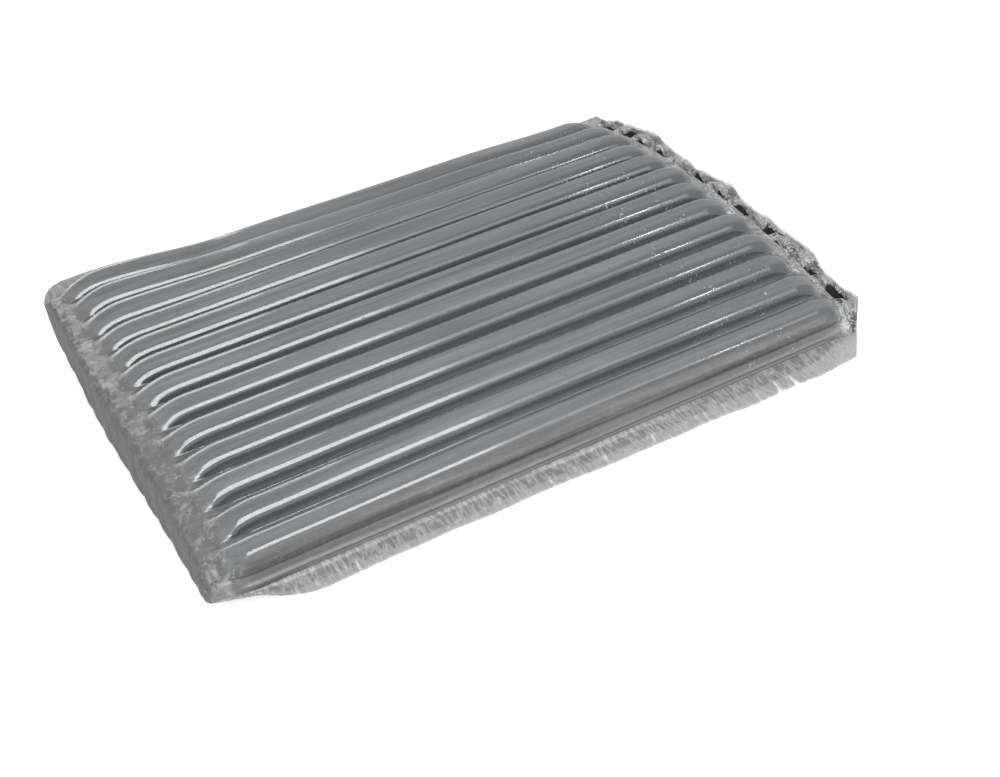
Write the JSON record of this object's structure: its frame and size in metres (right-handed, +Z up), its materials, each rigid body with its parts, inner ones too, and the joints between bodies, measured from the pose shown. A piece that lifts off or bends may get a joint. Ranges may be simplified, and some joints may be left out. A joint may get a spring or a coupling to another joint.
{
  "type": "inflated air column bag",
  "caption": "Inflated pouch of clear film: two panels of thirteen long air columns, folded at one end, welded along both sides and open at the other end, to cushion a flat item.",
  "frame": {"origin": "centre of the bag's footprint, on the surface that it lies on", "axes": "+X along the columns towards the open mouth, +Y across the columns, +Z up"},
  "size_m": [0.3974, 0.2908, 0.0515],
  "materials": {
    "film": "clear grey-looking nylon and polyethylene film, smooth and glossy over the taut columns and crinkled at the folded end, the side welds and the fill channel",
    "valve_film": "thin hazy check-valve film, finely crinkled"
  },
  "bodies": {
    "root": {"film_bag": "film", "upper_valve_films": "valve_film", "lower_valve_films": "valve_film"}
  },
  "joints": []
}
